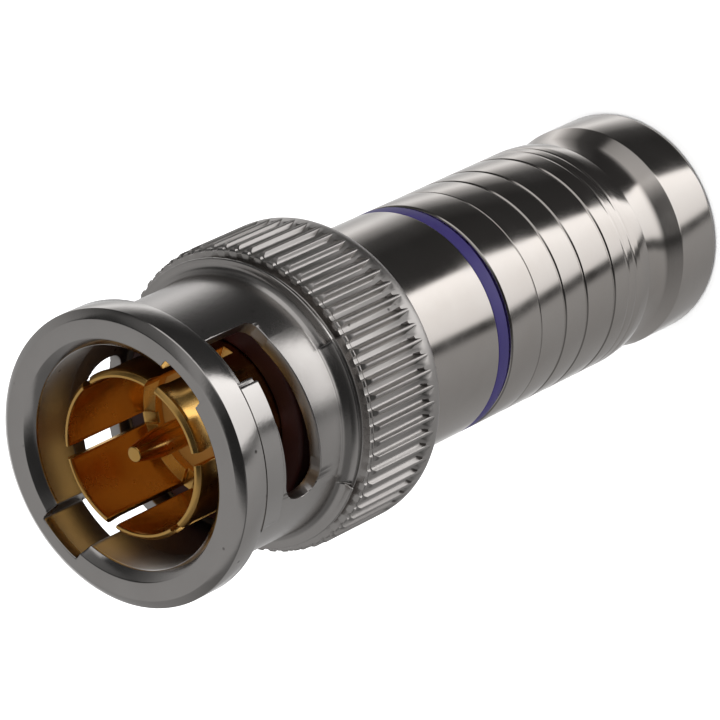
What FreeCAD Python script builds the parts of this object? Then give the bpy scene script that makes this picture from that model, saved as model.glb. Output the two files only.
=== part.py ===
import FreeCAD, Part
import Sketcher
import math
import os
from types import SimpleNamespace

# Bayonet coaxial plug with a compression back end. It stands on its cable end, with the
# origin in the middle of the rear face and +Z along the axis towards the mating mouth.
# Lengths are in millimetres and angles in degrees.
dimensions = {
    "total_length": 38.0,
    "running_gap": 0.05,
    "edge_break": 0.2,
    "cut_margin": 0.4,
    # coupling nut, from the mouth backwards
    "nut_length": 14.1,
    "nut_bore_radius": 5.2,
    "mouth_bevel": 0.43,
    "relief_depth": 0.3,
    "relief_gap": 0.35,
    "ring_radius": 6.93,
    "ring_thickness": 1.7,
    "ring_bevel_width": 0.43,
    "ring_bevel_depth": 0.3,
    "neck_radius": 6.15,
    "neck_fillet": 0.45,
    "collar_depth": 8.3,
    "collar_radius": 6.85,
    "collar_land": 0.2,
    "collar_groove_radius": 6.62,
    "collar_groove_width": 0.3,
    "knurl_radius": 7.27,
    "knurl_bevel": 0.3,
    "knurl_depth": 0.34,
    "knurl_groove_width": 0.5,
    "knurl_count": 62,
    "rim_length": 1.1,
    "rim_round": 0.75,
    "skirt_depth": 3.3,
    "skirt_gap": 0.1,
    "web_thickness": 1.2,
    "web_gap": 0.1,
    # bayonet slots
    "slot_count": 2,
    "entry_width": 2.4,
    "channel_radius": 6.0,
    "channel_length": 2.7,
    "slot_front": 3.35,
    "slot_height": 2.4,
    "slot_pitch": 4.4,
    "slot_turn": 60.0,
    "slot_end_width": 1.2,
    "slot_end_corner": 1.1,
    "slot_entry_corner": 0.5,
    "slide_step": 14.0,
    "slide_end": 70.0,
    "slide_rear": 2.93,
    "collar_step_start": 12.5,
    "collar_step_end": 73.0,
    "collar_step_fillet": 0.8,
    # outer contact
    "contact_recess": 0.7,
    "contact_lip_radius": 3.97,
    "contact_lip_length": 0.9,
    "contact_lip_bevel": 0.15,
    "contact_radius": 3.86,
    "contact_bore_radius": 3.58,
    "contact_depth": 5.2,
    "contact_shoulder": 0.5,
    "contact_shoulder_radius": 2.9,
    "contact_flange_radius": 4.95,
    "contact_flange_thickness": 0.8,
    "contact_stub_radius": 4.2,
    "contact_stub_seat": 1.65,
    "finger_slot_width": 0.55,
    "finger_slot_depth": 5.4,
    "finger_count": 6,
    "finger_turn": 19.5,
    # spring, washer and face gasket
    "gasket_thickness": 1.0,
    "gasket_gap": 0.15,
    "washer_thickness": 0.3,
    "washer_gap": 0.15,
    "wave_thickness": 0.25,
    "wave_count": 3,
    "nut_travel": 0.6,
    # insulators and centre pin
    "insulator_radius": 3.1,
    "insulator_gap": 0.1,
    "rear_insulator_radius": 3.0,
    "core_guide_radius": 1.3,
    "pin_recess": 0.95,
    "pin_radius": 0.67,
    "pin_neck_radius": 0.45,
    "pin_tip_radius": 0.36,
    "pin_taper_length": 1.6,
    "pin_barrel_radius": 0.97,
    "pin_barrel_depth": 8.0,
    "pin_setback": 0.95,
    "socket_radius": 0.55,
    "socket_floor": 3.5,
    "socket_slit_width": 0.25,
    "socket_slit_depth": 3.5,
    "socket_slit_count": 4,
    # front body
    "body_radius": 5.55,
    "body_web_length": 1.5,
    "body_web_radius": 2.4,
    "spigot_length": 5.2,
    "spigot_wall": 0.85,
    # colour band and rear sleeve
    "band_thickness": 0.6,
    "band_width": 0.8,
    "band_gap": 0.2,
    "sleeve_length": 11.1,
    "sleeve_wall": 0.4,
    "sleeve_end_taper": 0.75,
    "sleeve_end_drop": 0.08,
    "sleeve_mouth_bevel": 0.25,
    "sleeve_groove_depth": 0.07,
    "sleeve_groove_width": 0.22,
    "sleeve_groove_start": 2.3,
    "sleeve_groove_pitch": 1.9,
    "sleeve_groove_count": 4,
    # cable post
    "braid_room": 0.85,
    "post_wall": 0.5,
    "post_seat": 3.8,
    "post_flange_thickness": 1.2,
    "post_end": 6.0,
    "post_barb_height": 0.35,
    "post_barb_length": 1.0,
    "post_barb_pitch": 1.4,
    # compression ring
    "flange_drop": 0.05,
    "flange_thickness": 2.7,
    "flange_bevel": 0.3,
    "neck_arc_length": 1.2,
    "neck_arc_radius": 2.0,
    "neck_wall": 1.4,
    "ring_standoff": 2.8,
    "cable_mouth_bevel": 0.35,
    "compression_travel": 1.8,
    # seals and grip ring
    "seal_width": 0.8,
    "seal_depth": 0.5,
    "seal_land": 1.0,
    "seal_spacing": 2.0,
    "cable_seal_width": 1.1,
    "cable_seal_squeeze": 0.2,
    "grip_flange": 0.35,
    "grip_length": 2.0,
    "grip_nose_wall": 0.4,
    "grip_squeeze": 0.1,
    "post_seal_height": 0.7,
}


# A length that carries its number and the formula that binds it to the sheet.
class Size:
    def __init__(self, number, text):
        self.number = number
        self.text = text

    def __add__(self, other):
        return combine(self, "+", other)

    def __sub__(self, other):
        return combine(self, "-", other)

    def __mul__(self, other):
        return combine(self, "*", other)

    def __truediv__(self, other):
        return combine(self, "/", other)

    def __neg__(self):
        return Size(-self.number, f"-{self.text}")


def combine(left, sign, right):
    if not isinstance(right, Size):
        right = Size(right, str(right))
    results = {
        "+": lambda: left.number + right.number,
        "-": lambda: left.number - right.number,
        "*": lambda: left.number * right.number,
        "/": lambda: left.number / right.number,
    }
    return Size(results[sign](), f"({left.text} {sign} {right.text})")


def square_root(size):
    return Size(math.sqrt(size.number), f"sqrt({size.text})")


def smaller(left, right):
    return Size(min(left.number, right.number), f"min({left.text}; {right.text})")


doc = FreeCAD.newDocument("bayonet_plug")
sheet = doc.addObject("Spreadsheet::Sheet", "Sizes")
for row, (alias, value) in enumerate(dimensions.items(), start=1):
    sheet.set(f"A{row}", alias)
    sheet.set(f"B{row}", str(value))
    sheet.setAlias(f"B{row}", alias)
doc.recompute()
d = SimpleNamespace(**{name: Size(value, f"Sizes.{name}") for name, value in dimensions.items()})

# Heights that several pieces share. The mouth end hangs from the top and the cable end stands
# on the rear face, and the front body, the pin and the rear insulator span between them.
nut_rear = d.total_length - d.nut_length
collar_face = d.total_length - d.collar_depth
knurl_front = collar_face - d.collar_land - d.collar_groove_width
web_rear = nut_rear + d.skirt_depth
web_front = web_rear + d.web_thickness
body_top = web_rear - d.running_gap
washer_rear = web_front + d.running_gap
washer_front = washer_rear + d.washer_thickness
wave_rear = washer_front + d.running_gap
wave_height = d.wave_thickness + d.nut_travel + d.running_gap
flange_rear = wave_rear + wave_height + d.running_gap
flange_front = flange_rear + d.contact_flange_thickness
contact_top = d.total_length - d.contact_recess
shoulder_front = contact_top - d.contact_depth
shoulder_rear = shoulder_front - d.contact_shoulder
stub_rear = body_top - d.contact_stub_seat
body_web_rear = stub_rear - d.body_web_length
sleeve_rear = d.flange_thickness + d.ring_standoff
sleeve_top = sleeve_rear + d.sleeve_length
band_rear = sleeve_top + d.band_gap
band_top = band_rear + d.band_width
spigot_rear = band_top - d.spigot_length
post_top = spigot_rear + d.post_seat
ring_front = spigot_rear - d.compression_travel - d.grip_flange - d.running_gap
sleeve_seal_top = ring_front - d.seal_land
sleeve_seal_rear = sleeve_seal_top - d.seal_width
cable_seal_top = sleeve_seal_rear - d.seal_spacing
cable_seal_rear = cable_seal_top - d.cable_seal_width
pin_top = d.total_length - d.pin_recess
pin_rear = post_top + d.pin_setback

# Radii that fit round or inside each other, from the outside of the body inwards.
spigot_radius = d.body_radius - d.band_thickness
spigot_bore = spigot_radius - d.spigot_wall
sleeve_bore = d.body_radius - d.sleeve_wall
neck_radius = sleeve_bore - d.running_gap
cable_bore = neck_radius - d.neck_wall
post_radius = cable_bore - d.braid_room
post_bore = post_radius - d.post_wall


def new_body(label):
    body = doc.addObject("PartDesign::Body", label)
    body.Label = label
    return body


def origin_feature(body, role):
    return next(item for item in body.Origin.OriginFeatures if item.Role == role)


def new_sketch(body, name, plane, height=None, turn=None):
    sketch = body.newObject("Sketcher::SketchObject", name)
    sketch.AttachmentSupport = [(origin_feature(body, plane), "")]
    sketch.MapMode = "FlatFace"
    if height is not None:
        sketch.setExpression("AttachmentOffset.Base.z", height.text)
    if turn is not None:
        sketch.AttachmentOffset = FreeCAD.Placement(
            FreeCAD.Vector(0, 0, 0), FreeCAD.Rotation(turn[0], turn[1].number))
        sketch.setExpression("AttachmentOffset.Rotation.Angle", turn[1].text)
    return sketch


def arc_between(start, end, radius, left):
    # the centre lies to the left or right of the way from start to end
    chord = end - start
    middle = (start + end) * 0.5
    side = FreeCAD.Vector(-chord.y, chord.x, 0)
    side.normalize()
    reach = math.sqrt(max(radius ** 2 - (chord.Length / 2) ** 2, 0))
    centre = middle + side * (reach if left else -reach)
    first, last = (start, end) if left else (end, start)
    angles = [math.atan2(point.y - centre.y, point.x - centre.x) for point in (first, last)]
    circle = Part.Circle(centre, FreeCAD.Vector(0, 0, 1), radius)
    return Part.ArcOfCircle(circle, angles[0], angles[1])


# Corners are (across, up) pairs. An arc is named by its first corner's index and gives
# (radius, centre on the left).
def draw_outline(sketch, corners, arcs=None):
    arcs = arcs or {}
    points = [FreeCAD.Vector(across.number, up.number, 0) for across, up in corners]
    edges = []
    for index, start in enumerate(points):
        end = points[(index + 1) % len(points)]
        if index in arcs:
            radius, left = arcs[index]
            edge = sketch.addGeometry(arc_between(start, end, radius.number, left), False)
            rule = sketch.addConstraint(Sketcher.Constraint("Radius", edge, radius.number))
            sketch.setExpression(f"Constraints[{rule}]", radius.text)
            edges.append((edge, 1, 2) if left else (edge, 2, 1))
        else:
            edges.append((sketch.addGeometry(Part.LineSegment(start, end), False), 1, 2))
    for index, (edge, start_end, far_end) in enumerate(edges):
        following, following_end, _ = edges[(index + 1) % len(edges)]
        sketch.addConstraint(Sketcher.Constraint("Coincident", edge, far_end, following, following_end))
        across, up = corners[index]
        for kind, size in (("DistanceX", across), ("DistanceY", up)):
            if size.number == 0:
                axis = -2 if kind == "DistanceX" else -1
                sketch.addConstraint(Sketcher.Constraint("PointOnObject", edge, start_end, axis))
            else:
                rule = sketch.addConstraint(
                    Sketcher.Constraint(kind, -1, 1, edge, start_end, size.number))
                sketch.setExpression(f"Constraints[{rule}]", size.text)


def turn_profile(body, name, corners, arcs=None, start=None, sweep=None, kind="Revolution"):
    turn = (FreeCAD.Vector(0, 1, 0), start) if start is not None else None
    sketch = new_sketch(body, f"{name}_outline", "XZ_Plane", turn=turn)
    draw_outline(sketch, corners, arcs)
    feature = body.newObject(f"PartDesign::{kind}", name)
    feature.Profile = sketch
    feature.ReferenceAxis = (sketch, ["V_Axis"])
    if sweep is None:
        feature.Angle = 360
    else:
        feature.setExpression("Angle", sweep.text)
    return feature


def cut_down(body, name, height, corners, depth, arcs=None, turn=None):
    angle = (FreeCAD.Vector(0, 0, 1), turn) if turn is not None else None
    sketch = new_sketch(body, f"{name}_outline", "XY_Plane", height, angle)
    draw_outline(sketch, corners, arcs)
    feature = body.newObject("PartDesign::Pocket", name)
    feature.Profile = sketch
    feature.setExpression("Length", depth.text)
    return feature


def repeat_round(body, name, features, count):
    pattern = body.newObject("PartDesign::PolarPattern", name)
    pattern.Originals = features
    pattern.Axis = (origin_feature(body, "Z_Axis"), [""])
    pattern.Angle = 360
    pattern.setExpression("Occurrences", count.text)
    body.Tip = pattern
    return pattern


# Cuts from the axis outwards, in the direction that lies at the given turn from +X.
def cut_outwards(body, name, turn, corners, arcs):
    sketch = new_sketch(body, f"{name}_outline", "YZ_Plane", turn=(FreeCAD.Vector(0, 1, 0), turn))
    draw_outline(sketch, corners, arcs)
    feature = body.newObject("PartDesign::Pocket", name)
    feature.Profile = sketch
    feature.Reversed = True
    feature.setExpression("Length", (d.ring_radius + d.cut_margin).text)
    return feature


zero = Size(0.0, "0")
margin = d.cut_margin


# Die-cast coupling nut: a skirt, a web that holds it on the body, a knurled collar, a neck with
# two bayonet windows, and the thick ring of the mouth.
def make_coupling_nut():
    body = new_body("coupling_nut")
    top = d.total_length
    ring_rear = top - d.ring_thickness
    groove_top = collar_face - d.collar_land
    skirt_radius = d.body_radius + d.skirt_gap
    rim_round = smaller(d.rim_round, (d.knurl_radius - skirt_radius) * 0.8)
    relief_rear = flange_front + d.relief_gap
    channel_rear = top - d.channel_length
    corners = [
        (d.nut_bore_radius + d.mouth_bevel, top),
        (d.ring_radius - d.ring_bevel_width, top),
        (d.ring_radius, top - d.ring_bevel_depth),
        (d.ring_radius, ring_rear),
        (d.neck_radius, ring_rear),
        (d.neck_radius, collar_face + d.neck_fillet),
        (d.neck_radius + d.neck_fillet, collar_face),
        (d.collar_radius, collar_face),
        (d.collar_radius, groove_top),
        (d.collar_groove_radius, groove_top),
        (d.collar_groove_radius, knurl_front),
        (d.knurl_radius - d.knurl_bevel, knurl_front),
        (d.knurl_radius, knurl_front - d.knurl_bevel),
        (d.knurl_radius, nut_rear + rim_round),
        (d.knurl_radius - rim_round, nut_rear),
        (skirt_radius, nut_rear),
        (skirt_radius, web_rear),
        (d.contact_stub_radius + d.web_gap, web_rear),
        (d.contact_stub_radius + d.web_gap, web_front),
        (d.nut_bore_radius, web_front),
        (d.nut_bore_radius, relief_rear),
        (d.nut_bore_radius + d.relief_depth, relief_rear + d.relief_depth),
        (d.nut_bore_radius + d.relief_depth, channel_rear - d.relief_depth),
        (d.nut_bore_radius, channel_rear),
        (d.nut_bore_radius, top - d.mouth_bevel),
    ]
    turn_profile(body, "nut_shell", corners, {5: (d.neck_fillet, True), 13: (rim_round, False)})

    # the ring runs further back over each window
    slide_rear = top - d.slide_rear
    end_front = top - d.slot_front - d.slot_pitch * (d.slot_turn / 360)
    end_rear = end_front - d.slot_height
    sector = turn_profile(
        body, "slide_sector",
        [
            (d.neck_radius - margin, ring_rear + margin),
            (d.ring_radius, ring_rear + margin),
            (d.ring_radius, slide_rear),
            (d.neck_radius - margin, slide_rear),
        ],
        start=-d.slide_end, sweep=d.slide_end - d.slide_step)

    # behind each window the collar steps back in a wider curve
    collar_step = turn_profile(
        body, "collar_step",
        [
            (d.neck_radius, collar_face + d.neck_fillet),
            (d.neck_radius + d.collar_step_fillet, collar_face + d.neck_fillet - d.collar_step_fillet),
            (d.collar_radius + margin, collar_face + d.neck_fillet - d.collar_step_fillet),
            (d.collar_radius + margin, collar_face + d.neck_fillet),
        ],
        {0: (d.collar_step_fillet, True)},
        start=-d.collar_step_end, sweep=d.collar_step_end - d.collar_step_start, kind="Groove")

    # entry channel under the ring, then the window that winds back from it to a rounded end
    half = d.entry_width / 2
    window_rear = top - d.slot_front - d.slot_height
    reach = square_root(d.channel_radius * d.channel_radius - half * half)
    inside = d.nut_bore_radius - margin
    outside = d.ring_radius + margin
    channel = cut_down(
        body, "entry_channel", top,
        [(inside, -half), (reach, -half), (reach, half), (inside, half)],
        d.channel_length + margin, {1: (d.channel_radius, True)})
    lead = cut_outwards(
        body, "entry_window", zero,
        [(-half, channel_rear), (-half, window_rear), (half - d.slot_entry_corner, window_rear),
         (half, window_rear + d.slot_entry_corner), (half, channel_rear)],
        {2: (d.slot_entry_corner, True)})
    flat = d.slot_end_width - d.slot_end_corner
    window_end = cut_outwards(
        body, "window_end", -d.slot_turn,
        [(zero, end_front), (-flat, end_front), (-d.slot_end_width, end_front - d.slot_end_corner),
         (-d.slot_end_width, end_rear + d.slot_end_corner), (-flat, end_rear), (zero, end_rear)],
        {1: (d.slot_end_corner, True), 3: (d.slot_end_corner, True)})
    window_outline = new_sketch(body, "window_outline", "XZ_Plane")
    draw_outline(window_outline, [
        (inside, top - d.slot_front), (outside, top - d.slot_front),
        (outside, window_rear), (inside, window_rear)])
    window = body.newObject("PartDesign::SubtractiveHelix", "bayonet_window")
    window.Profile = window_outline
    window.ReferenceAxis = (window_outline, ["V_Axis"])
    window.Mode = "pitch-turns-angle"
    window.setExpression("Pitch", d.slot_pitch.text)
    window.setExpression("Turns", (d.slot_turn / 360).text)
    window.LeftHanded = False
    window.Reversed = True
    repeat_round(
        body, "second_slot", [sector, collar_step, channel, lead, window_end, window], d.slot_count)

    root = d.knurl_radius - d.knurl_depth
    crest = d.knurl_radius + margin
    spread = d.knurl_groove_width / 2 * ((d.knurl_depth + margin) / d.knurl_depth)
    groove = cut_down(
        body, "knurl_groove", knurl_front + d.edge_break,
        [(root, zero), (crest, -spread), (crest, spread)],
        knurl_front + d.edge_break - nut_rear - d.rim_length)
    repeat_round(body, "knurl", [groove], d.knurl_count)
    return body


# Gold plated outer contact with six spring fingers, a flange behind the gasket and a stub
# pressed into the front body.
def make_outer_contact():
    body = new_body("outer_contact")
    lip_rear = contact_top - d.contact_lip_length
    turn_profile(body, "contact_shell", [
        (d.contact_bore_radius, contact_top),
        (d.contact_lip_radius - d.contact_lip_bevel, contact_top),
        (d.contact_lip_radius, contact_top - d.contact_lip_bevel * 2),
        (d.contact_radius, lip_rear),
        (d.contact_radius, flange_front),
        (d.contact_flange_radius, flange_front),
        (d.contact_flange_radius, flange_rear),
        (d.contact_stub_radius, flange_rear),
        (d.contact_stub_radius, stub_rear),
        (d.insulator_radius, stub_rear),
        (d.insulator_radius, shoulder_rear),
        (d.contact_shoulder_radius, shoulder_rear),
        (d.contact_shoulder_radius, shoulder_front),
        (d.contact_bore_radius, shoulder_front),
    ])
    half = d.finger_slot_width / 2
    slot = cut_down(
        body, "finger_slot", contact_top,
        [(d.contact_shoulder_radius, -half), (d.contact_lip_radius + margin, -half),
         (d.contact_lip_radius + margin, half), (d.contact_shoulder_radius, half)],
        d.finger_slot_depth, turn=d.finger_turn)
    repeat_round(body, "fingers", [slot], d.finger_count)
    return body


def make_centre_pin():
    body = new_body("centre_pin")
    barrel_top = pin_top - d.pin_barrel_depth
    taper_end = pin_top - d.pin_taper_length
    socket_end = barrel_top - d.socket_floor
    turn_profile(body, "pin_shell", [
        (zero, pin_top),
        (d.pin_tip_radius, pin_top),
        (d.pin_radius, taper_end),
        (d.pin_radius, shoulder_rear),
        (d.pin_neck_radius, shoulder_rear),
        (d.pin_neck_radius, barrel_top),
        (d.pin_barrel_radius, barrel_top),
        (d.pin_barrel_radius, pin_rear),
        (d.socket_radius, pin_rear),
        (d.socket_radius, socket_end),
        (zero, socket_end + d.socket_radius),
    ])
    half = d.socket_slit_width / 2
    slit_root = d.socket_radius - half
    slit = cut_down(
        body, "socket_slit", pin_rear + d.socket_slit_depth,
        [(slit_root, -half), (d.pin_barrel_radius + margin, -half),
         (d.pin_barrel_radius + margin, half), (slit_root, half)],
        d.socket_slit_depth + margin)
    repeat_round(body, "socket_slits", [slit], d.socket_slit_count)
    return body


def make_plain_turning(label, corners, arcs=None):
    body = new_body(label)
    turn_profile(body, f"{label}_shape", corners, arcs)
    return body


def make_front_insulator():
    front = shoulder_rear
    rear = stub_rear + d.insulator_gap
    barrel_top = pin_top - d.pin_barrel_depth
    return make_plain_turning("front_insulator", [
        (d.pin_neck_radius, front),
        (d.insulator_radius, front),
        (d.insulator_radius, rear),
        (d.pin_barrel_radius, rear),
        (d.pin_barrel_radius, barrel_top),
        (d.pin_neck_radius, barrel_top),
    ])


def make_rear_insulator():
    return make_plain_turning("rear_insulator", [
        (d.pin_barrel_radius, body_web_rear),
        (d.rear_insulator_radius, body_web_rear),
        (d.rear_insulator_radius, post_top),
        (d.core_guide_radius, post_top),
        (d.pin_barrel_radius, pin_rear - d.running_gap),
    ])


def make_face_gasket():
    return make_plain_turning("face_gasket", [
        (d.contact_radius + d.running_gap, flange_front),
        (d.nut_bore_radius - d.gasket_gap, flange_front),
        (d.nut_bore_radius - d.gasket_gap, flange_front + d.gasket_thickness - d.edge_break),
        (d.nut_bore_radius - d.gasket_gap - d.edge_break, flange_front + d.gasket_thickness),
        (d.contact_radius + d.running_gap, flange_front + d.gasket_thickness),
    ])


def make_thrust_washer():
    return make_plain_turning("thrust_washer", [
        (d.contact_stub_radius + d.web_gap, washer_rear),
        (d.nut_bore_radius - d.washer_gap, washer_rear),
        (d.nut_bore_radius - d.washer_gap, washer_front),
        (d.contact_stub_radius + d.web_gap, washer_front),
    ])


# Three-wave spring washer: its four edges are closed waves, joined by ruled faces.
def make_wave_washer():
    inner = sheet.contact_stub_radius + sheet.web_gap
    outer = sheet.nut_bore_radius - sheet.washer_gap
    swing = (wave_height.number - sheet.wave_thickness) / 2
    waves = int(sheet.wave_count)
    middle = wave_rear.number + wave_height.number / 2
    points_per_wave = 12

    def wave_edge(radius, offset):
        points = []
        for step in range(points_per_wave * waves):
            angle = 2 * math.pi * step / (points_per_wave * waves)
            points.append(FreeCAD.Vector(
                radius * math.cos(angle), radius * math.sin(angle),
                middle + offset + swing * math.cos(waves * angle)))
        curve = Part.BSplineCurve()
        curve.interpolate(Points=points, PeriodicFlag=True)
        return curve.toShape()

    half = sheet.wave_thickness / 2
    edges = [
        wave_edge(inner, half),
        wave_edge(outer, half),
        wave_edge(outer, -half),
        wave_edge(inner, -half),
    ]
    faces = [Part.makeRuledSurface(edges[index], edges[(index + 1) % 4]) for index in range(4)]
    shell = Part.makeShell(faces)
    shell.sewShape()
    solid = Part.makeSolid(shell)
    if solid.Volume < 0:
        solid.reverse()
    feature = doc.addObject("Part::Feature", "wave_washer")
    feature.Label = "wave_washer"
    feature.Shape = solid
    return feature


# Main body: the contact stub and the rear insulator sit either side of its inner web, and the
# sleeve is pressed on its spigot.
def make_front_body():
    return make_plain_turning("front_body", [
        (d.contact_stub_radius, body_top),
        (d.body_radius - d.edge_break, body_top),
        (d.body_radius, body_top - d.edge_break),
        (d.body_radius, band_top),
        (spigot_radius, band_top),
        (spigot_radius, spigot_rear + d.edge_break),
        (spigot_radius - d.edge_break, spigot_rear),
        (spigot_bore, spigot_rear),
        (spigot_bore, post_top),
        (d.rear_insulator_radius, post_top),
        (d.rear_insulator_radius, body_web_rear),
        (d.body_web_radius, body_web_rear),
        (d.body_web_radius, stub_rear),
        (d.contact_stub_radius, stub_rear),
    ])


def make_colour_band():
    return make_plain_turning("colour_band", [
        (spigot_radius, band_rear),
        (d.body_radius, band_rear),
        (d.body_radius, band_top),
        (spigot_radius, band_top),
    ])


def make_rear_sleeve():
    corners = [
        (spigot_radius, sleeve_top),
        (d.body_radius - d.running_gap, sleeve_top),
        (d.body_radius, sleeve_top - d.running_gap),
    ]
    for index in range(int(dimensions["sleeve_groove_count"])):
        centre = sleeve_top - d.sleeve_groove_start - d.sleeve_groove_pitch * index
        half = d.sleeve_groove_width / 2
        corners += [
            (d.body_radius, centre + half),
            (d.body_radius - d.sleeve_groove_depth, centre),
            (d.body_radius, centre - half),
        ]
    corners += [
        (d.body_radius, sleeve_rear + d.sleeve_end_taper),
        (d.body_radius - d.sleeve_end_drop, sleeve_rear),
        (sleeve_bore + d.sleeve_mouth_bevel, sleeve_rear),
        (sleeve_bore, sleeve_rear + d.sleeve_mouth_bevel * 2),
        (sleeve_bore, spigot_rear),
        (spigot_radius, spigot_rear),
    ]
    return make_plain_turning("rear_sleeve", corners)


# Thin tube that slides under the cable's braid, with barbs at its end.
def make_cable_post():
    flange_rear_height = post_top - d.post_flange_thickness
    corners = [
        (post_bore, post_top),
        (spigot_bore, post_top),
        (spigot_bore, flange_rear_height),
        (post_radius, flange_rear_height),
    ]
    for index in (1, 0):
        barb = d.post_end + d.post_barb_pitch * index + d.post_barb_length
        corners += [
            (post_radius, barb),
            (post_radius + d.post_barb_height, barb),
            (post_radius, barb - d.post_barb_length),
        ]
    corners.append((post_bore, d.post_end))
    return make_plain_turning("cable_post", corners)


def make_post_seal():
    top = post_top - d.post_flange_thickness
    return make_plain_turning("post_seal", [
        (spigot_bore - d.seal_width, top),
        (spigot_bore, top),
        (spigot_bore, top - d.post_seal_height),
        (spigot_bore - d.seal_width, top - d.post_seal_height),
    ])


# Compression ring: its neck slides in the sleeve until the curved collar meets the sleeve.
def make_compression_ring():
    flange_radius = d.body_radius - d.flange_drop
    corners = [
        (cable_bore, ring_front),
        (neck_radius - d.edge_break, ring_front),
        (neck_radius, ring_front - d.edge_break),
        (neck_radius, sleeve_seal_top),
        (neck_radius - d.seal_depth, sleeve_seal_top),
        (neck_radius - d.seal_depth, sleeve_seal_rear),
        (neck_radius, sleeve_seal_rear),
        (neck_radius, d.flange_thickness + d.neck_arc_length),
        (flange_radius, d.flange_thickness),
        (flange_radius, d.flange_bevel),
        (flange_radius - d.flange_bevel, zero),
        (cable_bore + d.cable_mouth_bevel, zero),
        (cable_bore, d.cable_mouth_bevel),
        (cable_bore, cable_seal_rear),
        (cable_bore + d.seal_depth, cable_seal_rear),
        (cable_bore + d.seal_depth, cable_seal_top),
        (cable_bore, cable_seal_top),
    ]
    return make_plain_turning("compression_ring", corners, {7: (d.neck_arc_radius, True)})


def make_sleeve_seal():
    inner = neck_radius - d.seal_depth
    outer = sleeve_bore - d.running_gap / 2
    edge = d.edge_break
    low = sleeve_seal_rear
    high = sleeve_seal_top
    return make_plain_turning("sleeve_seal", [
        (inner, low), (outer - edge, low), (outer, low + edge),
        (outer, high - edge), (outer - edge, high), (inner, high)])


def make_cable_seal():
    inner = cable_bore - d.cable_seal_squeeze
    outer = cable_bore + d.seal_depth
    edge = d.cable_seal_squeeze
    low = cable_seal_rear
    high = cable_seal_top
    return make_plain_turning("cable_seal", [
        (inner, low + edge), (inner + edge, low), (outer, low),
        (outer, high), (inner + edge, high), (inner, high - edge)])


# Plastic ring ahead of the compression ring: its nose closes on the cable's jacket.
def make_grip_ring():
    base = ring_front
    land = base + d.grip_flange
    tip = base + d.grip_length
    bore = cable_bore - d.grip_squeeze
    nose = bore + d.grip_nose_wall
    return make_plain_turning("grip_ring", [
        (bore, tip),
        (nose - d.edge_break, tip),
        (nose, tip - d.edge_break),
        (nose, land),
        (sleeve_bore - d.running_gap * 2, land),
        (sleeve_bore - d.running_gap * 2, base),
        (bore, base),
    ])


pieces = [
    make_coupling_nut(),
    make_outer_contact(),
    make_centre_pin(),
    make_front_insulator(),
    make_rear_insulator(),
    make_face_gasket(),
    make_thrust_washer(),
    make_wave_washer(),
    make_front_body(),
    make_colour_band(),
    make_rear_sleeve(),
    make_cable_post(),
    make_post_seal(),
    make_compression_ring(),
    make_sleeve_seal(),
    make_cable_seal(),
    make_grip_ring(),
]
doc.recompute()

for item in doc.Objects:
    if "Invalid" in item.State or "Error" in item.State:
        raise RuntimeError(f"{item.Label} failed: {item.State}")
os.makedirs("parts", exist_ok=True)
for piece in pieces:
    shape = piece.Shape
    if shape.isNull() or not shape.isValid() or len(shape.Solids) != 1:
        raise RuntimeError(f"{piece.Label} is not one sound solid")
    shape.exportStep(f"parts/{piece.Label}.step")
    box = shape.optimalBoundingBox()
    print(f"{piece.Label}: {shape.Volume:.2f} mm3, z {box.ZMin:.2f} to {box.ZMax:.2f}, r {box.XMax:.2f}")
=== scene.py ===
import bmesh
import bpy
import math
from mathutils import Matrix, Vector


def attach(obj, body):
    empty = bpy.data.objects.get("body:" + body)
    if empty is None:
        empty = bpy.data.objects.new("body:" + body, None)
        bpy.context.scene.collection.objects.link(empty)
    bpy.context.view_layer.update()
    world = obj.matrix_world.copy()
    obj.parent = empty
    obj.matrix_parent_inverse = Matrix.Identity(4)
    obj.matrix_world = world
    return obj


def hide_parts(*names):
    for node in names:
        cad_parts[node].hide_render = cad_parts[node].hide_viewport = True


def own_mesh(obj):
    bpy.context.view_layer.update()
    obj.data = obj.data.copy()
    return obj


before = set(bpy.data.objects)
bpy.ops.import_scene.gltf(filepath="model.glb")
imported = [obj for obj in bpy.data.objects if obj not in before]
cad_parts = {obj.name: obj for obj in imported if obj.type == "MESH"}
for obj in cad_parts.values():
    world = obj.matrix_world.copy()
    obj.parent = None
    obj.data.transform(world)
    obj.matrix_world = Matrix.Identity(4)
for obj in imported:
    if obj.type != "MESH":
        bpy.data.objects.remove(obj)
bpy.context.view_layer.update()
print("frame loaded:", len(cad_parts), "nodes")

# Forms are drawn in millimetres and brought to metres when they become objects.
toMetres = Matrix.Scale(0.001, 4)

# Millimetres: points closer than weld become one, near is the reach for finding a point again,
# planeReach is the same for a cutting plane, and cutters stand spare over what they cut.
weld, near, planeReach, spare = 0.0005, 0.001, 0.0001, 0.5

# Edges steeper than sharpAngle are shaded sharp, and those steeper than softenAngle are softened.
sharpAngle, softenAngle = math.radians(48), math.radians(28)

# How many flats make up a full turn, a rounded corner, a wide curve and a softened edge, and how
# many parts a block is split into before it is laid out.
turnSteps, cornerSteps, curveSteps, softenSteps, layOutParts = 256, 4, 8, 2, 6


def linearColour(hexText):
    parts = [int(hexText[place:place + 2], 16) / 255 for place in (1, 3, 5)]
    linear = [part / 12.92 if part <= 0.04045 else ((part + 0.055) / 1.055) ** 2.4 for part in parts]
    return (*linear, 1.0)


def addNode(tree, kind, inputs=None, links=None, **settings):
    node = tree.nodes.new(kind)
    for name, value in settings.items():
        setattr(node, name, value)
    for name, value in (inputs or {}).items():
        node.inputs[name].default_value = value
    for name, source in (links or {}).items():
        tree.links.new(source, node.inputs[name])
    return node


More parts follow.
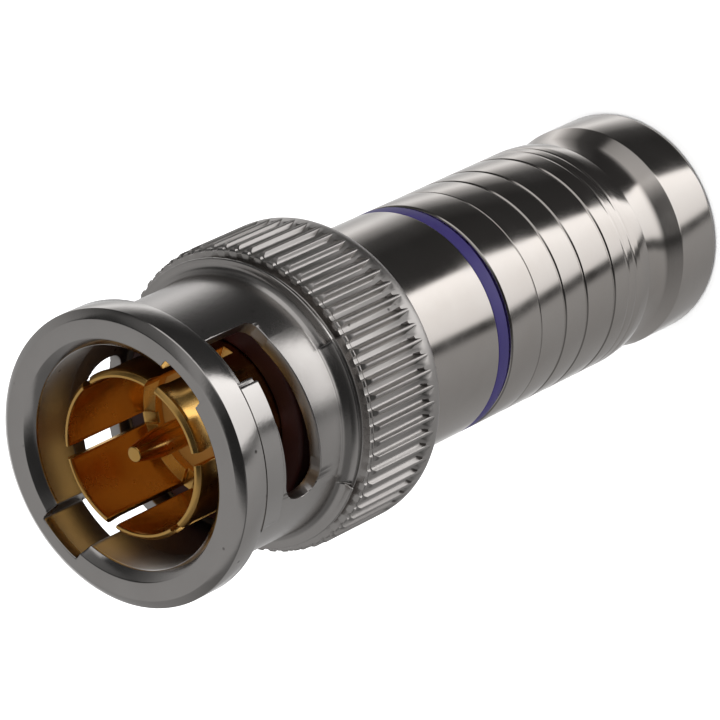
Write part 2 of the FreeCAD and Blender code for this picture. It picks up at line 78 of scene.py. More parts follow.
def newMaterial(name, hexText, metallic, roughness):
    material = bpy.data.materials.new(name)
    material.use_nodes = True
    tree = material.node_tree
    tree.nodes.clear()
    shader = addNode(tree, "ShaderNodeBsdfPrincipled", inputs={
        "Base Color": linearColour(hexText), "Metallic": metallic, "Roughness": roughness})
    addNode(tree, "ShaderNodeOutputMaterial", links={"Surface": shader.outputs["BSDF"]})
    place = addNode(tree, "ShaderNodeTexCoord").outputs["Object"]
    return material, tree, shader, place


# Noise whose lumps are about the given size in millimetres.
def lumps(tree, place, size, detail):
    return addNode(tree, "ShaderNodeTexNoise", inputs={
        "Scale": 1000 / size, "Detail": detail, "Roughness": 0.55}, links={"Vector": place}).outputs["Fac"]


# Scales the place along each axis, so that a pattern is drawn out where the scale is small.
def stretched(tree, place, scale):
    return addNode(tree, "ShaderNodeMapping", inputs={"Scale": scale},
                   links={"Vector": place}).outputs["Vector"]


def spread(tree, source, low, high, fromLow=0.0, fromHigh=1.0):
    return addNode(tree, "ShaderNodeMapRange", inputs={
        "From Min": fromLow, "From Max": fromHigh, "To Min": low, "To Max": high},
        links={"Value": source}).outputs["Result"]


# The middle part of a noise, spread over the range from low to high.
def clouded(tree, noise, low, high):
    return spread(tree, noise, low, high, 0.3, 0.7)


def combine(tree, operation, first, second):
    return addNode(tree, "ShaderNodeMath", operation=operation, links={0: first, 1: second}).outputs[0]


def tinted(tree, share, dark, light):
    return addNode(tree, "ShaderNodeMix", data_type="RGBA", inputs={
        "A": linearColour(dark), "B": linearColour(light)}, links={"Factor": share}).outputs["Result"]


# Surface relief, with its depth in millimetres.
def relief(tree, strength, depth, links):
    return addNode(tree, "ShaderNodeBump", inputs={"Strength": strength, "Distance": depth / 1000},
                   links=links).outputs["Normal"]


# Bright nickel over a die-cast zinc nut: soft orange peel from the casting, faint specks, and a
# satin knurl, collar and bore, where the tumbled casting shows through the plate.
def nickelOnZinc():
    knurlSatin, collarSatin, boreSatin, brightest, dullest = 0.40, 0.24, 0.36, 0.10, 0.22
    # where one skin gives way to the next, in metres
    knurlEnd, collarEnd = (0.0291, 0.0293), (0.0301, 0.0304)
    mouthEdge, boreEdge = (0.0374, 0.0376), (0.0061, 0.0063)
    material, tree, shader, place = newMaterial("nickelOnZinc", "#bdb7b2", 1.0, 0.2)
    peel = lumps(tree, place, 0.55, 2.0)
    grain = lumps(tree, place, 0.09, 2.0)
    cloud = lumps(tree, place, 2.2, 3.0)
    height = addNode(tree, "ShaderNodeSeparateXYZ", links={"Vector": place}).outputs["Z"]
    radius = addNode(tree, "ShaderNodeVectorMath", operation="LENGTH", links={
        0: stretched(tree, place, (1.0, 1.0, 0.0))}).outputs["Value"]
    outside = combine(tree, "MAXIMUM", spread(tree, height, knurlSatin, 0.0, *knurlEnd),
                      spread(tree, height, collarSatin, 0.0, *collarEnd))
    bore = combine(tree, "MULTIPLY", spread(tree, radius, boreSatin, 0.0, *boreEdge),
                   spread(tree, height, 1.0, 0.0, *mouthEdge))
    dull = combine(tree, "MAXIMUM", combine(tree, "MAXIMUM", outside, bore),
                   clouded(tree, cloud, brightest, dullest))
    tree.links.new(dull, shader.inputs["Roughness"])
    specks = addNode(tree, "ShaderNodeTexVoronoi", inputs={"Scale": 1000 / 1.6}, links={"Vector": place})
    clean = spread(tree, specks.outputs["Distance"], 0.0, 1.0, 0.02, 0.07)
    speckled = addNode(tree, "ShaderNodeMix", data_type="RGBA", inputs={"A": linearColour("#55504d")}, links={
        "Factor": clean, "B": tinted(tree, cloud, "#b7b3b0", "#c6c2bf")})
    tree.links.new(speckled.outputs["Result"], shader.inputs["Base Color"])
    soft = relief(tree, 0.10, 0.04, {"Height": peel})
    fine = relief(tree, 0.10, 0.008, {"Height": grain, "Normal": soft})
    tree.links.new(fine, shader.inputs["Normal"])
    return material


# Bright nickel on turned brass: a clean mirror with faint turning marks round the axis.
def nickelOnBrass():
    material, tree, shader, place = newMaterial("nickelOnBrass", "#c2bdb8", 1.0, 0.14)
    cloud = lumps(tree, place, 2.6, 4.0)
    tree.links.new(clouded(tree, cloud, 0.10, 0.20), shader.inputs["Roughness"])
    tree.links.new(tinted(tree, cloud, "#b8b1ab", "#c9c4c0"), shader.inputs["Base Color"])
    rings = lumps(tree, stretched(tree, place, (0.02, 0.02, 1.0)), 0.05, 2.0)
    tree.links.new(relief(tree, 0.12, 0.004, {"Height": rings}), shader.inputs["Normal"])
    return material


# Gold flash over brass: deep orange in the cavities, with drawn marks along the fingers.
def goldOnBrass():
    material, tree, shader, place = newMaterial("goldOnBrass", "#e8b868", 1.0, 0.2)
    cloud = lumps(tree, place, 1.2, 3.0)
    tree.links.new(clouded(tree, cloud, 0.16, 0.3), shader.inputs["Roughness"])
    tree.links.new(tinted(tree, cloud, "#e0ac58", "#f0c47c"), shader.inputs["Base Color"])
    streaks = lumps(tree, stretched(tree, place, (1.0, 1.0, 0.08)), 0.12, 2.0)
    tree.links.new(relief(tree, 0.15, 0.01, {"Height": streaks}), shader.inputs["Normal"])
    return material


# Moulded plastics and rubbers: one colour with a slight cloud in it and a fine moulded skin.
def mouldedSkin(name, dark, light, roughness):
    material, tree, shader, place = newMaterial(name, light, 0.0, roughness)
    cloud = lumps(tree, place, 1.5, 2.0)
    tree.links.new(tinted(tree, cloud, dark, light), shader.inputs["Base Color"])
    skin = lumps(tree, place, 0.25, 2.0)
    tree.links.new(relief(tree, 0.12, 0.01, {"Height": skin}), shader.inputs["Normal"])
    return material


# Rolled spring steel: grey, with a dull rolled surface.
def rolledSteel():
    material, tree, shader, place = newMaterial("rolledSteel", "#8d8f92", 1.0, 0.35)
    grain = lumps(tree, place, 0.2, 3.0)
    tree.links.new(spread(tree, grain, 0.28, 0.42), shader.inputs["Roughness"])
    return material


finishes = {
    "nut_nickel": nickelOnZinc(),
    "body_nickel": nickelOnBrass(),
    "gold": goldOnBrass(),
    "violet_plastic": mouldedSkin("violetNylon", "#2a1e64", "#33266f", 0.5),
    # The insulators' dark amber-brown is painted reflection: it stands for the gold contact's glow on the
    # plastic deep in the cavity.
    "insulator_plastic": mouldedSkin("insulatorPaintedGoldReflection", "#5c3c18", "#6e4a20", 0.45),
    "grip_plastic": mouldedSkin("whiteAcetal", "#d8d8d4", "#e6e6e2", 0.4),
    "seal_rubber": mouldedSkin("blackNitrile", "#0c0c0c", "#161616", 0.55),
    # The gasket is red silicone darkened almost to black: painted shade for the dark inside seen through the
    # nut's windows.
    "gasket_rubber": mouldedSkin("redSiliconePaintedShade", "#170605", "#260b08", 0.55),
    "spring_steel": rolledSteel(),
}
print("materials made:", len(finishes))


def asObject(name, form):
    mesh = bpy.data.meshes.new(name)
    form.to_mesh(mesh)
    form.free()
    item = bpy.data.objects.new(name, mesh)
    bpy.context.scene.collection.objects.link(item)
    return item


def newForm(name, form, finish, body, node):
    form.transform(toMetres)
    piece = asObject(name, form)
    mesh = piece.data
    for face in mesh.polygons:
        face.use_smooth = True
    mesh.set_sharp_from_angle(angle=sharpAngle)
    mesh.materials.append(finishes[finish])
    weight = piece.modifiers.new("faceWeight", "WEIGHTED_NORMAL")
    weight.keep_sharp = True
    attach(piece, body)
    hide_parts(node)
    print("made", name, len(mesh.polygons), "faces")
    return piece


def turnOutwards(form):
    bmesh.ops.recalc_face_normals(form, faces=form.faces)
    if form.calc_volume(signed=True) < 0:
        bmesh.ops.reverse_faces(form, faces=form.faces)


def roundOff(form, geom, width, segments, affect="EDGES"):
    bmesh.ops.bevel(form, geom=geom, offset=width, offset_type="OFFSET", segments=segments,
                    profile=0.5, affect=affect, material=-1)


# A turned piece. Its outline runs round the section as (radius, height, corner rounding).
def turnedForm(outline):
    form = bmesh.new()
    corners = [form.verts.new((radius, 0.0, height)) for radius, height, _ in outline]
    form.faces.new(corners)
    onAxis = [corner for corner, (radius, _, _) in zip(corners, outline) if radius == 0]
    for corner, (_, _, rounding) in zip(corners, outline):
        if rounding > 0:
            roundOff(form, [corner], rounding, cornerSteps, "VERTICES")
    bmesh.ops.delete(form, geom=form.faces[:], context="FACES_ONLY")
    axisEdges = [edge for edge in form.edges if all(vert in onAxis for vert in edge.verts)]
    bmesh.ops.delete(form, geom=axisEdges, context="EDGES")
    bmesh.ops.spin(form, geom=form.verts[:] + form.edges[:], cent=(0, 0, 0), axis=(0, 0, 1),
                   angle=2 * math.pi, steps=turnSteps, use_merge=True, use_duplicate=False)
    bmesh.ops.remove_doubles(form, verts=form.verts, dist=weld)
    turnOutwards(form)
    return form


# Forms with windows, slots or teeth are drawn on a flat strip: along is the angle times the
# strip's radius, across is the real radius. Bent round at the end, they close on themselves.
def stripForm(section, start, length):
    form = bmesh.new()
    corners = [form.verts.new((start, across, height)) for across, height in section]
    face = form.faces.new(corners)
    grown = bmesh.ops.extrude_face_region(form, geom=[face])["geom"]
    moved = [item for item in grown if isinstance(item, bmesh.types.BMVert)]
    bmesh.ops.translate(form, vec=(length, 0, 0), verts=moved)
    turnOutwards(form)
    return form


def blockForm(low, high):
    form = bmesh.new()
    bmesh.ops.create_cube(form, size=1.0)
    size = [top - bottom for bottom, top in zip(low, high)]
    middle = [(top + bottom) / 2 for bottom, top in zip(low, high)]
    bmesh.ops.scale(form, vec=size, verts=form.verts)
    bmesh.ops.translate(form, vec=middle, verts=form.verts)
    return form


# Rounds the edges of a block that run outwards (along X) at the given corners of its YZ side.
def roundBlock(form, corners, rounding):
    chosen = []
    for edge in form.edges:
        first, second = edge.verts[0].co, edge.verts[1].co
        middle = (first + second) / 2
        if abs(first.x - second.x) > near and any(
                math.hypot(middle.y - y, middle.z - z) < near for y, z in corners):
            chosen.append(edge)
    roundOff(form, chosen, rounding, curveSteps)


def splitAt(form, along):
    bmesh.ops.bisect_plane(form, geom=form.verts[:] + form.edges[:] + form.faces[:],
                           plane_co=(along, 0, 0), plane_no=(1, 0, 0), dist=planeReach)


# Lays a block that stands at +X, then turned round the axis, out on the flat strip.
def layOut(form, turn, stripRadius):
    reach = [vert.co.x for vert in form.verts]
    inner, outer = min(reach), max(reach)
    for step in range(1, layOutParts):
        splitAt(form, inner + (outer - inner) * step / layOutParts)
    for vert in form.verts:
        x, y, z = vert.co
        vert.co = ((math.atan2(y, x) + turn) * stripRadius, math.hypot(x, y), z)
    turnOutwards(form)


def asCutter(form):
    return asObject("cutter", form)


def carved(form, cutters, operation="DIFFERENCE"):
    blank = asCutter(form)
    for cutter in cutters:
        change = blank.modifiers.new("carve", "BOOLEAN")
        change.operation = operation
        change.solver = "EXACT"
        change.object = cutter
    graph = bpy.context.evaluated_depsgraph_get()
    result = bmesh.new()
    result.from_object(blank, graph)
    for item in [blank] + cutters:
        mesh = item.data
        bpy.data.objects.remove(item)
        bpy.data.meshes.remove(mesh)
    return result


def softenEdges(form, edges, width):
    sharp = [edge for edge in edges if len(edge.link_faces) == 2
             and edge.calc_face_angle() > softenAngle and edge.calc_length() > width * 2]
    roundOff(form, sharp, width, softenSteps)


# Takes off the strip's two end faces, so that it can close on itself.
def openEnds(form, start, length):
    ends = [face for face in form.faces if any(
        all(abs(vert.co.x - end) < near for vert in face.verts) for end in (start, start + length))]
    bmesh.ops.delete(form, geom=ends, context="FACES_ONLY")


def wrapStrip(form, start, length, stripRadius, columns):
    step = length / columns
    for column in range(columns):
        splitAt(form, start + (column + 0.5) * step)
    for vert in form.verts:
        angle = vert.co.x / stripRadius
        vert.co = (vert.co.y * math.cos(angle), vert.co.y * math.sin(angle), vert.co.z)
    bmesh.ops.remove_doubles(form, verts=form.verts, dist=weld)
    turnOutwards(form)


couplingNut = {
    "mouth": 38.0, "rear": 23.9, "bore": 5.2, "mouthBevel": 0.43, "reliefRear": 30.9, "reliefDepth": 0.3,
    "ringRadius": 6.93, "ringRear": 36.3, "ringBevelWidth": 0.43, "ringBevelDepth": 0.3,
    "neckRadius": 6.15, "neckFillet": 0.45, "filletSteps": 6,
    "collarFace": 29.7, "collarRadius": 6.85, "collarLand": 29.5, "grooveRadius": 6.62,
    "knurlFront": 29.2, "knurlRadius": 7.27, "teeth": 62, "teethEnd": 24.75, "rimRound": 0.75, "rimSteps": 8,
    # the bead in front of the teeth and the rise to their crests: (radius, distance behind knurlFront)
    "bead": [(7.05, 0), (7.14, 0.04), (7.17, 0.11), (7.14, 0.19), (6.99, 0.26), (7.17, 0.34), (7.27, 0.52)],
    # half of one groove, from its middle out to the tooth's crest: (across, depth)
    "groove": [(0, 0.24), (0.1, 0.235), (0.17, 0.21), (0.215, 0.16), (0.25, 0.095), (0.28, 0.045),
               (0.31, 0.012), (0.34, 0.0)],
    # grooveRun slants the groove's rear end; its cutter stands out past the crests and the knurl's front
    "grooveRun": 2.8, "grooveTop": 0.4, "grooveFront": 0.15,
    "skirtBore": 5.65, "webRear": 27.2, "webFront": 28.4, "webBore": 4.3,
    "channelHalf": 1.2, "channelRadius": 6.0, "channelRear": 35.3,
    "windowFront": 34.65, "windowHeight": 2.4, "windowPitch": 4.4, "windowTurn": 60.0,
    "endWidth": 1.2, "endCorner": 1.1, "entryCorner": 0.5, "overlap": 0.3,
    "sectorStart": 14.0, "sectorEnd": 70.0, "sectorRear": 35.07, "sectorDrop": 0.03, "sectorOverlap": 0.2,
    "stepStart": 12.5, "stepEnd": 73.0, "stepFillet": 0.8, "stepGap": 0.01, "stepFront": 0.1,
    # edges in front of plainFront or inside plainRadius are softened, those of the knurl aren't
    "plainFront": 29.19, "plainRadius": 6.52,
    # the strip's seam lies on a crest, this many teeth past the channel at +X
    "seam": 10.5, "stripRadius": 6.5, "columnsPerTooth": 4, "edge": 0.05,
}


def arcCorner(centre, radius, fromAngle, toAngle, steps):
    points = []
    for step in range(steps + 1):
        angle = math.radians(fromAngle + (toAngle - fromAngle) * step / steps)
        points.append((centre[0] + radius * math.cos(angle), centre[1] + radius * math.sin(angle)))
    return points


def makeCouplingNut(n):
    top, neck, face = n["mouth"], n["neckRadius"], n["collarFace"]
    fillet, rim, knurl = n["neckFillet"], n["rimRound"], n["knurlRadius"]
    section = [
        (n["bore"] + n["mouthBevel"], top),
        (n["ringRadius"] - n["ringBevelWidth"], top),
        (n["ringRadius"], top - n["ringBevelDepth"]),
        (n["ringRadius"], n["ringRear"]),
        (neck, n["ringRear"]),
    ]
    section += arcCorner((neck + fillet, face + fillet), fillet, 180, 270, n["filletSteps"])
    section += [
        (n["collarRadius"], face),
        (n["collarRadius"], n["collarLand"]),
        (n["grooveRadius"], n["collarLand"]),
        (n["grooveRadius"], n["knurlFront"]),
    ]
    section += [(radius, n["knurlFront"] - behind) for radius, behind in n["bead"]]
    section += arcCorner((knurl - rim, n["rear"] + rim), rim, 0, -90, n["rimSteps"])
    section += [
        (n["skirtBore"], n["rear"]),
        (n["skirtBore"], n["webRear"]),
        (n["webBore"], n["webRear"]),
        (n["webBore"], n["webFront"]),
        (n["bore"], n["webFront"]),
        (n["bore"], n["reliefRear"]),
        (n["bore"] + n["reliefDepth"], n["reliefRear"] + n["reliefDepth"]),
        (n["bore"] + n["reliefDepth"], n["channelRear"] - n["reliefDepth"]),
        (n["bore"], n["channelRear"]),
        (n["bore"], top - n["mouthBevel"]),
    ]
    strip = n["stripRadius"]
    length = 2 * math.pi * strip
    pitch = length / n["teeth"]
    start = pitch * n["seam"]
    form = stripForm(section, start, length)
    slope = n["windowPitch"] / length
    endTurn = math.radians(n["windowTurn"])
    endFront = n["windowFront"] - slope * endTurn * strip
    endRear = endFront - n["windowHeight"]
    windowRear = n["windowFront"] - n["windowHeight"]
    half, floor = n["channelHalf"], n["channelRadius"]
    inside, outside = n["bore"] - spare, n["ringRadius"] + spare
    stepLength = math.radians(n["stepEnd"] - n["stepStart"]) * strip

    sectors, cutters = [], []
    for turn in (math.pi * 2, math.pi):
        along = turn * strip
        sectors.append(asCutter(blockForm(
            (along - math.radians(n["sectorEnd"]) * strip, neck - n["overlap"], n["sectorRear"]),
            (along - math.radians(n["sectorStart"]) * strip, n["ringRadius"] - n["sectorDrop"],
             n["ringRear"] + n["sectorOverlap"]))))

        # window that winds back from the entry
        window = blockForm((-endTurn * strip, inside, windowRear), (0, outside, n["windowFront"]))
        for vert in window.verts:
            vert.co.z += slope * vert.co.x
        bmesh.ops.translate(window, vec=(along, 0, 0), verts=window.verts)
        cutters.append(asCutter(window))

        # its rounded end
        end = blockForm((inside, -n["endWidth"], endRear), (outside, n["overlap"], endFront))
        roundBlock(end, [(-n["endWidth"], endRear), (-n["endWidth"], endFront)], n["endCorner"])
        layOut(end, -endTurn, strip)
        for vert in end.verts:
            vert.co.z += slope * (vert.co.x + endTurn * strip)
        bmesh.ops.translate(end, vec=(along, 0, 0), verts=end.verts)
        cutters.append(asCutter(end))

        # entry, open through the wall, and the channel under the ring
        entry = blockForm((inside, -half, windowRear), (outside, half, n["channelRear"]))
        roundBlock(entry, [(half, windowRear)], n["entryCorner"])
        layOut(entry, turn, strip)
        cutters.append(asCutter(entry))
        channel = blockForm((inside, -half, n["channelRear"] - n["overlap"]), (floor, half, top + spare))
        layOut(channel, turn, strip)
        for vert in channel.verts:
            vert.co.y = min(vert.co.y, floor)
        cutters.append(asCutter(channel))

        # set-back part of the collar, with its wider curve
        stepRoot = neck + n["stepGap"]
        step = blockForm((0, stepRoot, face + fillet - n["stepFillet"]),
                         (stepLength, knurl + spare, face + fillet + n["stepFront"]))
        low = [edge for edge in step.edges if all(
            abs(vert.co.y - stepRoot) < near and vert.co.z < face + fillet for vert in edge.verts)]
        roundOff(step, low, n["stepFillet"], curveSteps)
        bmesh.ops.translate(step, vec=(along - math.radians(n["stepEnd"]) * strip, 0, 0), verts=step.verts)
        cutters.append(asCutter(step))

    form = carved(form, sectors, "UNION")
    form = carved(form, cutters)

    # one cutter for each groove between two teeth, running out at its rear end
    flank = [(across / knurl * strip, depth) for across, depth in n["groove"]]
    crest = flank[-1][0]
    profile = [(-across, depth) for across, depth in reversed(flank)] + flank[1:]
    profile += [(crest, -n["grooveTop"]), (-crest, -n["grooveTop"])]
    comb = bmesh.new()
    for tooth in range(n["teeth"]):
        centre = start + pitch * (tooth + 0.5)
        fronts, rears = [], []
        for across, depth in profile:
            front = n["knurlFront"] + n["grooveFront"]
            rear = n["teethEnd"] + max(depth, 0) * n["grooveRun"]
            fronts.append(comb.verts.new((centre + across, knurl - depth, front)))
            rears.append(comb.verts.new((centre + across, knurl - depth, rear)))
        comb.faces.new(fronts)
        comb.faces.new(rears)
        bmesh.ops.bridge_loops(comb, edges=[edge for edge in comb.edges if edge.is_boundary])
    turnOutwards(comb)
    form = carved(form, [asCutter(comb)])

    openEnds(form, start, length)
    plain = [edge for edge in form.edges if all(
        vert.co.z > n["plainFront"] or vert.co.y < n["plainRadius"] for vert in edge.verts)]
    softenEdges(form, plain, n["edge"])
    wrapStrip(form, start, length, strip, n["teeth"] * n["columnsPerTooth"])
    newForm("couplingNut", form, "nut_nickel", "nut", "coupling_nut")


makeCouplingNut(couplingNut)


outerContact = {
    "section": [
        (3.63, 37.3), (3.75, 37.3), (3.91, 37.14), (3.95, 36.95), (3.86, 36.3), (3.86, 30.55), (4.95, 30.55),
        (4.95, 29.75), (4.2, 29.75), (4.2, 25.5), (3.1, 25.5), (3.1, 31.6), (2.9, 31.6),
        (2.9, 32.1), (3.58, 32.1), (3.58, 37.1)],
    "slots": 6, "slotTurn": 19.5, "slotWidth": 0.55, "slotEnd": 31.9,
    # how far each slot's cutter reaches, past the finger's inside, outside and tip
    "slotInside": 2.5, "slotOutside": 4.3, "slotTip": 37.8,
    "stripRadius": 3.9, "columns": 216, "edge": 0.02,
}


def makeOuterContact(c):
    strip = c["stripRadius"]
    length = 2 * math.pi * strip
    form = stripForm(c["section"], 0.0, length)
    half = c["slotWidth"] / 2
    cutters = []
    for slot in range(c["slots"]):
        turn = math.radians(c["slotTurn"] + 360 / c["slots"] * slot)
        block = blockForm((c["slotInside"], -half, c["slotEnd"]), (c["slotOutside"], half, c["slotTip"]))
        layOut(block, turn, strip)
        cutters.append(asCutter(block))
    form = carved(form, cutters)
    openEnds(form, 0.0, length)
    softenEdges(form, form.edges, c["edge"])
    wrapStrip(form, 0.0, length, strip, c["columns"])
    newForm("outerContact", form, "gold", "shell", "outer_contact")


makeOuterContact(outerContact)


centrePin = {"node": "centre_pin", "finish": "gold", "body": "shell", "outline": [
    (0, 37.05, 0), (0.36, 37.05, 0.06), (0.67, 35.45, 0.3), (0.67, 31.6, 0), (0.45, 31.6, 0),
    (0.45, 29.05, 0), (0.97, 29.05, 0), (0.97, 17.15, 0.05), (0.55, 17.15, 0.05), (0.55, 25.55, 0),
    (0, 26.1, 0)]}

frontBody = {"node": "front_body", "finish": "body_nickel", "body": "shell", "outline": [
    (4.2, 27.15, 0.05), (5.55, 27.15, 0.2), (5.55, 17.6, 0.05), (4.95, 17.6, 0), (4.95, 12.4, 0.2),
    (4.1, 12.4, 0.05), (4.1, 16.2, 0), (3.0, 16.2, 0), (3.0, 24.0, 0), (2.4, 24.0, 0),
    (2.4, 25.5, 0), (4.2, 25.5, 0)]}

colourBand = {"node": "colour_band", "finish": "violet_plastic", "body": "shell", "outline": [
    (4.95, 16.8, 0), (5.55, 16.8, 0.08), (5.55, 17.6, 0.05), (4.95, 17.6, 0)]}

# Rolled grooves round the sleeve, and two faint ripples behind them: height, half width, depth.
sleeveGrooves = [(14.3, 0.05, 0.02), (12.4, 0.1, 0.05), (10.7, 0.1, 0.05), (8.5, 0.11, 0.05),
                 (7.3, 0.12, 0.02), (6.7, 0.12, 0.02)]
sleeveRadius, grooveFloorShare, grooveRounding = 5.55, 0.3, 0.02

rearSleeve = {"node": "rear_sleeve", "finish": "body_nickel", "body": "shell", "outline": [
    (4.95, 16.6, 0), (sleeveRadius, 16.6, 0.14)]}
for height, half, depth in sleeveGrooves:
    for radius, offset in ((sleeveRadius, half), (sleeveRadius - depth, half * grooveFloorShare),
                           (sleeveRadius - depth, -half * grooveFloorShare), (sleeveRadius, -half)):
        rearSleeve["outline"].append((radius, height + offset, grooveRounding))
rearSleeve["outline"] += [
    (sleeveRadius, 6.25, 0.05), (5.47, 5.5, 0.04), (5.4, 5.5, 0.02), (5.15, 6.0, 0), (5.15, 12.4, 0),
    (4.95, 12.4, 0)]

compressionRing = {"node": "compression_ring", "finish": "body_nickel", "body": "compression", "outline": [
    (3.7, 10.2, 0.05), (5.1, 10.2, 0.2), (5.1, 9.2, 0.03), (4.6, 9.2, 0), (4.6, 8.4, 0),
    (5.1, 8.4, 0.03), (5.1, 5.3, 0.1), (5.0, 5.0, 0.1), (5.05, 4.0, 0.4), (5.5, 2.76, 0.05),
    (5.5, 0, 0.28), (4.05, 0, 0.08), (3.7, 0.35, 0.05), (3.7, 5.3, 0),
    (4.2, 5.3, 0), (4.2, 6.4, 0), (3.7, 6.4, 0)]}

gripRing = {"node": "grip_ring", "finish": "grip_plastic", "body": "compression", "outline": [
    (3.6, 12.2, 0.05), (4.0, 12.2, 0.18), (4.0, 10.55, 0.05), (5.05, 10.55, 0.05), (5.05, 10.2, 0.05),
    (3.6, 10.2, 0.05)]}

cablePost = {"node": "cable_post", "finish": "body_nickel", "body": "shell", "outline": [
    (2.35, 16.2, 0.05), (4.1, 16.2, 0), (4.1, 15.0, 0), (2.85, 15.0, 0.1), (2.85, 8.4, 0.02),
    (3.2, 8.4, 0.03), (2.85, 7.4, 0.02), (2.85, 7.0, 0.02), (3.2, 7.0, 0.03), (2.85, 6.0, 0.05),
    (2.35, 6.0, 0.05)]}

faceGasket = {"node": "face_gasket", "finish": "gasket_rubber", "body": "shell", "outline": [
    (3.91, 30.55, 0), (5.05, 30.55, 0), (5.05, 31.55, 0.2), (3.91, 31.55, 0.1)]}

frontInsulator = {"node": "front_insulator", "finish": "insulator_plastic", "body": "shell", "outline": [
    (0.45, 31.6, 0.02), (3.1, 31.6, 0), (3.1, 25.6, 0), (0.97, 25.6, 0), (0.97, 29.05, 0),
    (0.45, 29.05, 0)]}

rearInsulator = {"node": "rear_insulator", "finish": "insulator_plastic", "body": "shell", "outline": [
    (0.97, 24.0, 0), (3.0, 24.0, 0), (3.0, 16.2, 0.03), (1.3, 16.2, 0.05), (0.97, 17.1, 0)]}

thrustWasher = {"node": "thrust_washer", "finish": "spring_steel", "body": "washer", "outline": [
    (4.3, 28.45, 0.03), (5.05, 28.45, 0.03), (5.05, 28.75, 0.03), (4.3, 28.75, 0.03)]}

postSeal = {"node": "post_seal", "finish": "seal_rubber", "body": "shell", "outline": [
    (3.3, 14.3, 0.15), (4.1, 14.3, 0), (4.1, 15.0, 0), (3.3, 15.0, 0.1)]}

sleeveSeal = {"node": "sleeve_seal", "finish": "seal_rubber", "body": "compression", "outline": [
    (4.6, 8.4, 0), (5.125, 8.4, 0.2), (5.125, 9.2, 0.2), (4.6, 9.2, 0)]}

cableSeal = {"node": "cable_seal", "finish": "seal_rubber", "body": "compression", "outline": [
    (3.5, 5.3, 0.2), (4.2, 5.3, 0), (4.2, 6.4, 0), (3.5, 6.4, 0.2)]}

turnedPieces = {
    "centrePin": centrePin, "frontBody": frontBody, "colourBand": colourBand, "rearSleeve": rearSleeve,
    "compressionRing": compressionRing, "gripRing": gripRing, "cablePost": cablePost,
    "faceGasket": faceGasket, "frontInsulator": frontInsulator, "rearInsulator": rearInsulator,
    "thrustWasher": thrustWasher, "postSeal": postSeal, "sleeveSeal": sleeveSeal, "cableSeal": cableSeal,
}
for name, turned in turnedPieces.items():
    newForm(name, turnedForm(turned["outline"]), turned["finish"], turned["body"], turned["node"])


waveWasher = {
    "inner": 4.3, "outer": 5.05, "rear": 28.8, "height": 0.9, "thickness": 0.25, "waves": 3,
    "flatShare": 1 / 3,
}


# A flat ring bent into waves. The nut's travel presses it flat against the flange in front of it.
def makeWaveWasher(w):
    half = w["thickness"] / 2
    middle = w["rear"] + w["height"] / 2
    form = turnedForm([(w["inner"], middle - half, 0), (w["outer"], middle - half, 0),
                       (w["outer"], middle + half, 0), (w["inner"], middle + half, 0)])
    swing = (w["height"] - w["thickness"]) / 2
    for vert in form.verts:
        vert.co.z += swing * math.cos(w["waves"] * math.atan2(vert.co.y, vert.co.x))
    piece = newForm("waveWasher", form, "spring_steel", "shell", "wave_washer")
    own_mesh(piece)


makeWaveWasher(waveWasher)


studio = {
    "cameraPlace": (0.171018, -0.060170, 0.216380),
    "cameraRight": (0.48243, -0.62452, -0.61419), "cameraUp": (0.59513, 0.74819, -0.29331),
    "cameraBack": (0.64271, -0.22402, 0.73263),
    "lens": 290.0, "sensor": 36.0, "clipStart": 0.01, "clipEnd": 20.0,
    "floorColour": "#f2f2f2", "floorRoughness": 0.9, "floorSize": 3.0,
    "overheadSize": 0.9, "overheadHeight": 0.8, "overheadPower": 16.0,
    # The surround stands in bands, from below the level upwards. Each is given by its angle from the
    # camera's side in degrees: (angle, brightness).
    "surround": [
        [(-180, 1.0), (-160, 0.6), (-146, 0.38), (-96, 0.33), (-70, 0.37), (-42, 0.44), (-36, 0.07),
         (-30, 0.07), (-26, 1.2), (0, 1.5), (24, 1.9), (27, 0.05), (75, 0.035), (97, 0.08),
         (111, 0.45), (126, 1.2), (138, 0.75), (146, 0.6), (162, 0.7), (180, 1.0)],
        [(-180, 0.38), (-136, 0.25), (-116, 0.16), (-50, 0.16), (-42, 0.08), (-34, 0.03), (4, 0.03),
         (13, 0.3), (22, 0.7), (70, 0.75), (75, 0.04), (98, 0.045), (116, 0.14), (136, 0.32),
         (150, 0.36), (180, 0.38)],
        [(-180, 0.38), (-80, 0.38), (-68, 0.13), (-54, 0.03), (-8, 0.03), (0, 0.05), (20, 0.09),
         (34, 0.38), (54, 0.32), (68, 0.17), (102, 0.10), (112, 0.03), (134, 0.035), (146, 0.34),
         (180, 0.38)],
        [(-180, 0.4), (180, 0.4)],
    ],
    # the upward part of a ray, between which each band gives way to the next
    "bandEdges": [(-0.45, -0.22), (0.42, 0.54), (0.93, 0.98)],
    "brightest": 2.0,
}


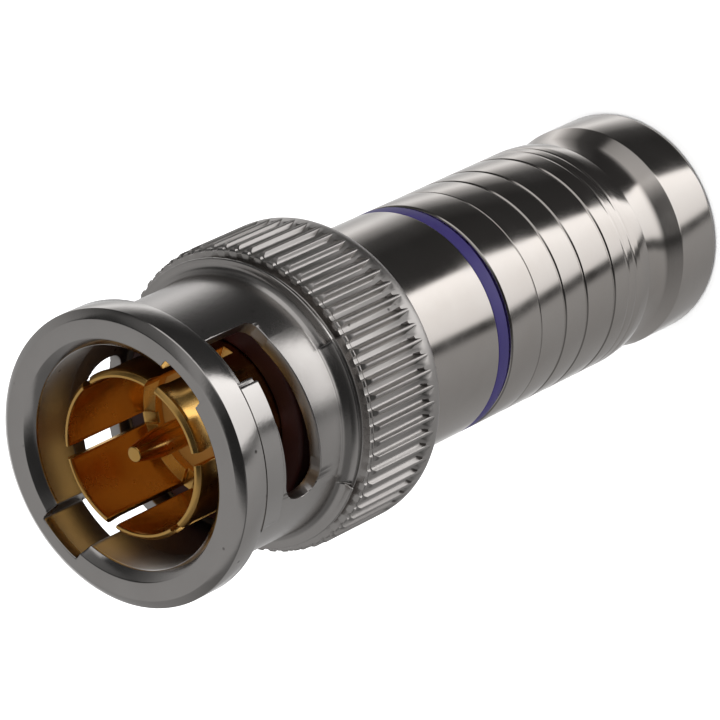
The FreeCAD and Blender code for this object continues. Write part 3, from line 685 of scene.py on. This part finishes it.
def makeSurround(s):
    world = bpy.data.worlds.new("studioSurround")
    bpy.context.scene.world = world
    world.use_nodes = True
    tree = world.node_tree
    tree.nodes.clear()
    ray = addNode(tree, "ShaderNodeTexCoord").outputs["Generated"]
    parts = addNode(tree, "ShaderNodeSeparateXYZ", links={"Vector": ray})
    around = combine(tree, "ARCTAN2", parts.outputs["Y"], parts.outputs["X"])
    back = s["cameraBack"]
    fromCamera = addNode(tree, "ShaderNodeMath", operation="SUBTRACT",
                         inputs={1: math.atan2(back[1], back[0])}, links={0: around})
    wrapped = addNode(tree, "ShaderNodeMath", operation="WRAP", inputs={1: math.pi, 2: -math.pi},
                      links={0: fromCamera.outputs[0]})
    share = spread(tree, wrapped.outputs[0], 0.0, 1.0, -math.pi, math.pi)
    bands = []
    for stops in s["surround"]:
        ramp = addNode(tree, "ShaderNodeValToRGB", links={"Fac": share})
        elements = ramp.color_ramp.elements
        while len(elements) < len(stops):
            elements.new(1.0)
        for element, (angle, brightness) in zip(elements, stops):
            level = brightness / s["brightest"]
            element.position = angle / 360 + 0.5
            element.color = (level, level, level, 1.0)
        bands.append(ramp.outputs["Color"])
    colour = bands[0]
    for upper, (start, end) in zip(bands[1:], s["bandEdges"]):
        height = addNode(tree, "ShaderNodeMapRange", interpolation_type="SMOOTHSTEP", inputs={
            "From Min": start, "From Max": end}, links={"Value": parts.outputs["Z"]})
        colour = addNode(tree, "ShaderNodeMix", data_type="RGBA", links={
            "Factor": height.outputs["Result"], "A": colour, "B": upper}).outputs["Result"]
    light = addNode(tree, "ShaderNodeBackground", inputs={"Strength": s["brightest"]},
                    links={"Color": colour})
    addNode(tree, "ShaderNodeOutputWorld", links={"Surface": light.outputs["Background"]})


def makeStudio(s):
    camera = bpy.data.cameras.new("camera")
    camera.lens = s["lens"]
    camera.sensor_width = s["sensor"]
    camera.clip_start = s["clipStart"]
    camera.clip_end = s["clipEnd"]
    viewer = bpy.data.objects.new("camera", camera)
    bpy.context.scene.collection.objects.link(viewer)
    turn = Matrix((s["cameraRight"], s["cameraUp"], s["cameraBack"])).transposed().to_4x4()
    viewer.matrix_world = Matrix.Translation(Vector(s["cameraPlace"])) @ turn
    bpy.context.scene.camera = viewer

    form = bmesh.new()
    bmesh.ops.create_grid(form, x_segments=1, y_segments=1, size=s["floorSize"] / 2)
    floor = asObject("floor", form)
    floor.data.materials.append(newMaterial("whitePaper", s["floorColour"], 0.0, s["floorRoughness"])[0])
    floor.visible_glossy = False

    lamp = bpy.data.lights.new("overhead", "AREA")
    lamp.shape = "SQUARE"
    lamp.size = s["overheadSize"]
    lamp.energy = s["overheadPower"]
    overhead = bpy.data.objects.new("overhead", lamp)
    overhead.location = (0, 0, s["overheadHeight"])
    overhead.visible_glossy = False
    bpy.context.scene.collection.objects.link(overhead)


makeSurround(studio)
makeStudio(studio)
bpy.context.scene.view_settings.view_transform = "Standard"
print("studio set")
